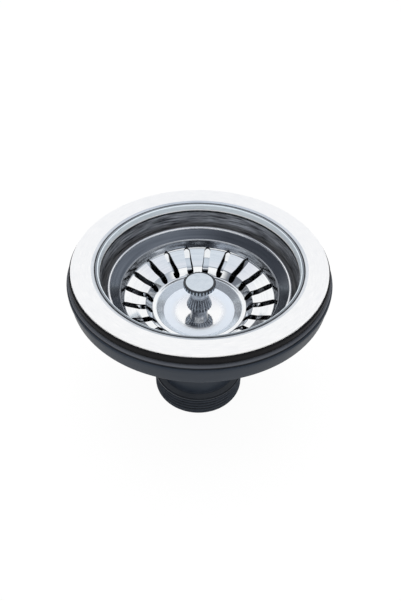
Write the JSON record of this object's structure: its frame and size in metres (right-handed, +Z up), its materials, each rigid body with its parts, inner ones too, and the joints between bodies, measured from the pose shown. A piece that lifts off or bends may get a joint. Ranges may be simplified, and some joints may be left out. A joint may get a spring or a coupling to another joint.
{
  "type": "basket strainer waste",
  "caption": "Kitchen-sink basket strainer waste: satin steel flange and cup, lift-out slotted basket with a knob, rubber seals and a black plastic body with a threaded outlet.",
  "frame": {"origin": "centre of the outlet's lower end, on the axis", "axes": "+Z up along the axis, out of the sink; +X to the right as the picture is seen"},
  "size_m": [0.1192, 0.1192, 0.0874],
  "materials": {
    "satin_steel": "satin",
    "polished_steel": "mirror polished",
    "chrome": "bright plated",
    "fastener_steel": "plain",
    "brass": "plain",
    "black_rubber": "smooth",
    "black_plastic": "moulded satin",
    "pale_plastic": "moulded"
  },
  "bodies": {
    "waste": {"flange_cup": "satin_steel", "flange_gasket": "black_rubber", "body_gasket": "black_rubber", "waste_body": "black_plastic", "centre_screw": "fastener_steel", "screw_washer": "black_rubber", "insert_nut": "brass"},
    "catch": {"catch_sleeve": "pale_plastic"},
    "basket": {"basket_shell": "polished_steel", "knob": "chrome", "stem": "fastener_steel", "stopper_seal": "black_rubber", "stopper_plate": "fastener_steel", "stem_nut": "fastener_steel", "stem_clip": "fastener_steel"}
  },
  "joints": [
    {"name": "basket_lift", "type": "slide", "parent": "waste", "child": "catch", "axis": [0, 0, 1], "range_m": [0, 0.055]},
    {"name": "basket_spin", "type": "hinge", "parent": "catch", "child": "basket", "pos_m": [0, 0, 0.0531], "axis": [0, 0, 1], "continuous": true}
  ]
}
